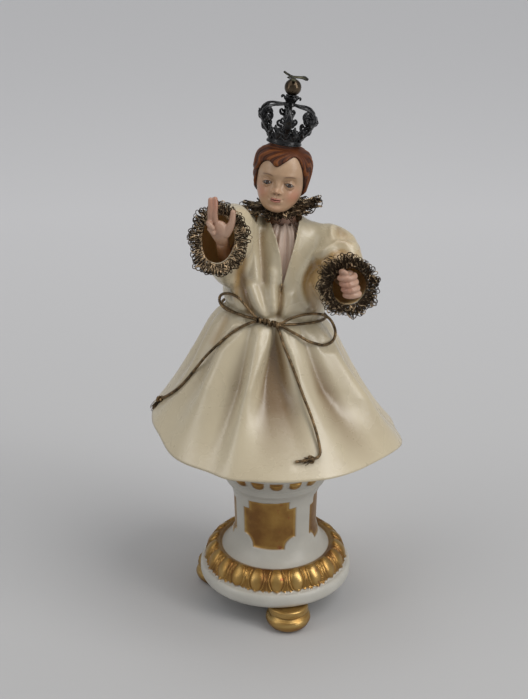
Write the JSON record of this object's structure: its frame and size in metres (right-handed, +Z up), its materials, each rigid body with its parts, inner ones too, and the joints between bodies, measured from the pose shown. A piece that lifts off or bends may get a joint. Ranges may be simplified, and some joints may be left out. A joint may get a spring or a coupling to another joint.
{
  "type": "dressed child jesus statue",
  "caption": "Carved child figure in a belted satin robe with metallic lace, under an openwork crown, on a turned and gilded pedestal with bun feet.",
  "frame": {"origin": "on the floor, on the axis of the pedestal, in the middle of the three bun feet's reach", "axes": "+Z up through the pedestal, the figure and the crown; the figure faces -Y, and its left hand is on the +X side"},
  "size_m": [0.1804, 0.1757, 0.3984],
  "materials": {
    "painted_wood": "satin",
    "gilding": "burnished gold leaf over red bole",
    "flesh_paint": "polished flesh paint",
    "eye_glass": "gloss",
    "satin": "satin weave",
    "metal_lace": "tarnished metal thread",
    "metal_cord": "twisted metal thread",
    "dark_silver": "darkened silver",
    "bronze": "dark polished"
  },
  "bodies": {
    "root": {"pedestal": "painted_wood", "foot_front": "gilding", "foot_right": "gilding", "foot_left": "gilding", "figure": "flesh_paint", "glass_eye_right": "eye_glass", "glass_eye_left": "eye_glass", "robe": "satin", "lace_collar": "metal_lace", "lace_cuff_right": "metal_lace", "lace_cuff_left": "metal_lace", "belt_cord": "metal_cord", "crown": "dark_silver", "orb": "bronze", "cross": "dark_silver"}
  },
  "joints": []
}
